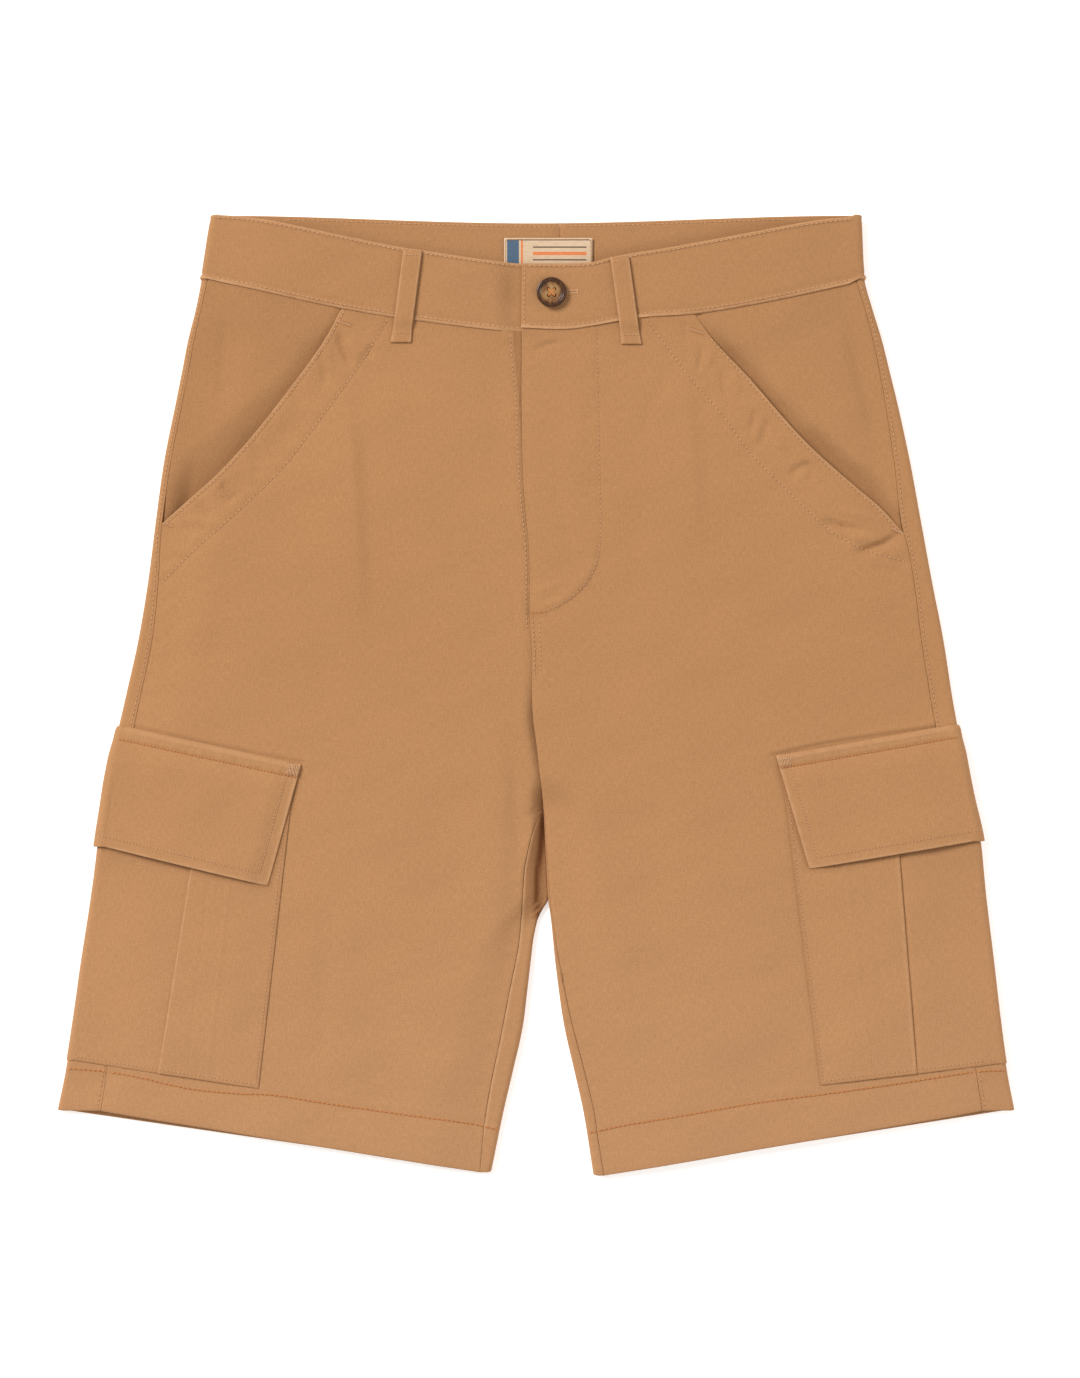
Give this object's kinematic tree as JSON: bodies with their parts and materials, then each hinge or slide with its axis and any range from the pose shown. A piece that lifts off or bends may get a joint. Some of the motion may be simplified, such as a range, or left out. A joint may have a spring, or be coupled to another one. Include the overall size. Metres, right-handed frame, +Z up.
{
  "type": "cargo shorts, laid flat",
  "caption": "Knee-length cargo shorts laid flat, front up, with slant hip pockets, pleated cargo pockets with flaps, belt loops, fly and waist button.",
  "frame": {"origin": "on the resting plane, under the middle of the garment's outline", "axes": "+Z up out of the front, +Y towards the waist, +X towards the wearer's left"},
  "size_m": [0.5754, 0.5776, 0.0164],
  "materials": {
    "twill": "matt camel cotton twill",
    "zip_tape": "woven tape",
    "label_weave": "woven label",
    "button_horn": "polished tortoise-shell"
  },
  "bodies": {
    "root": {"front_right": "twill", "front_left": "twill", "back_right": "twill", "back_left": "twill", "waistband_right": "twill", "waistband_left": "twill", "pocket_facing_right": "twill", "pocket_facing_left": "twill", "cargo_pocket_right": "twill", "cargo_pocket_left": "twill", "cargo_flap_right": "twill", "cargo_flap_left": "twill", "fly_shield": "twill", "zip_tape": "zip_tape", "belt_loop_front_right": "twill", "belt_loop_front_left": "twill", "belt_loop_back_right": "twill", "belt_loop_back_centre": "twill", "belt_loop_back_left": "twill", "label": "label_weave", "button": "button_horn"}
  },
  "joints": []
}
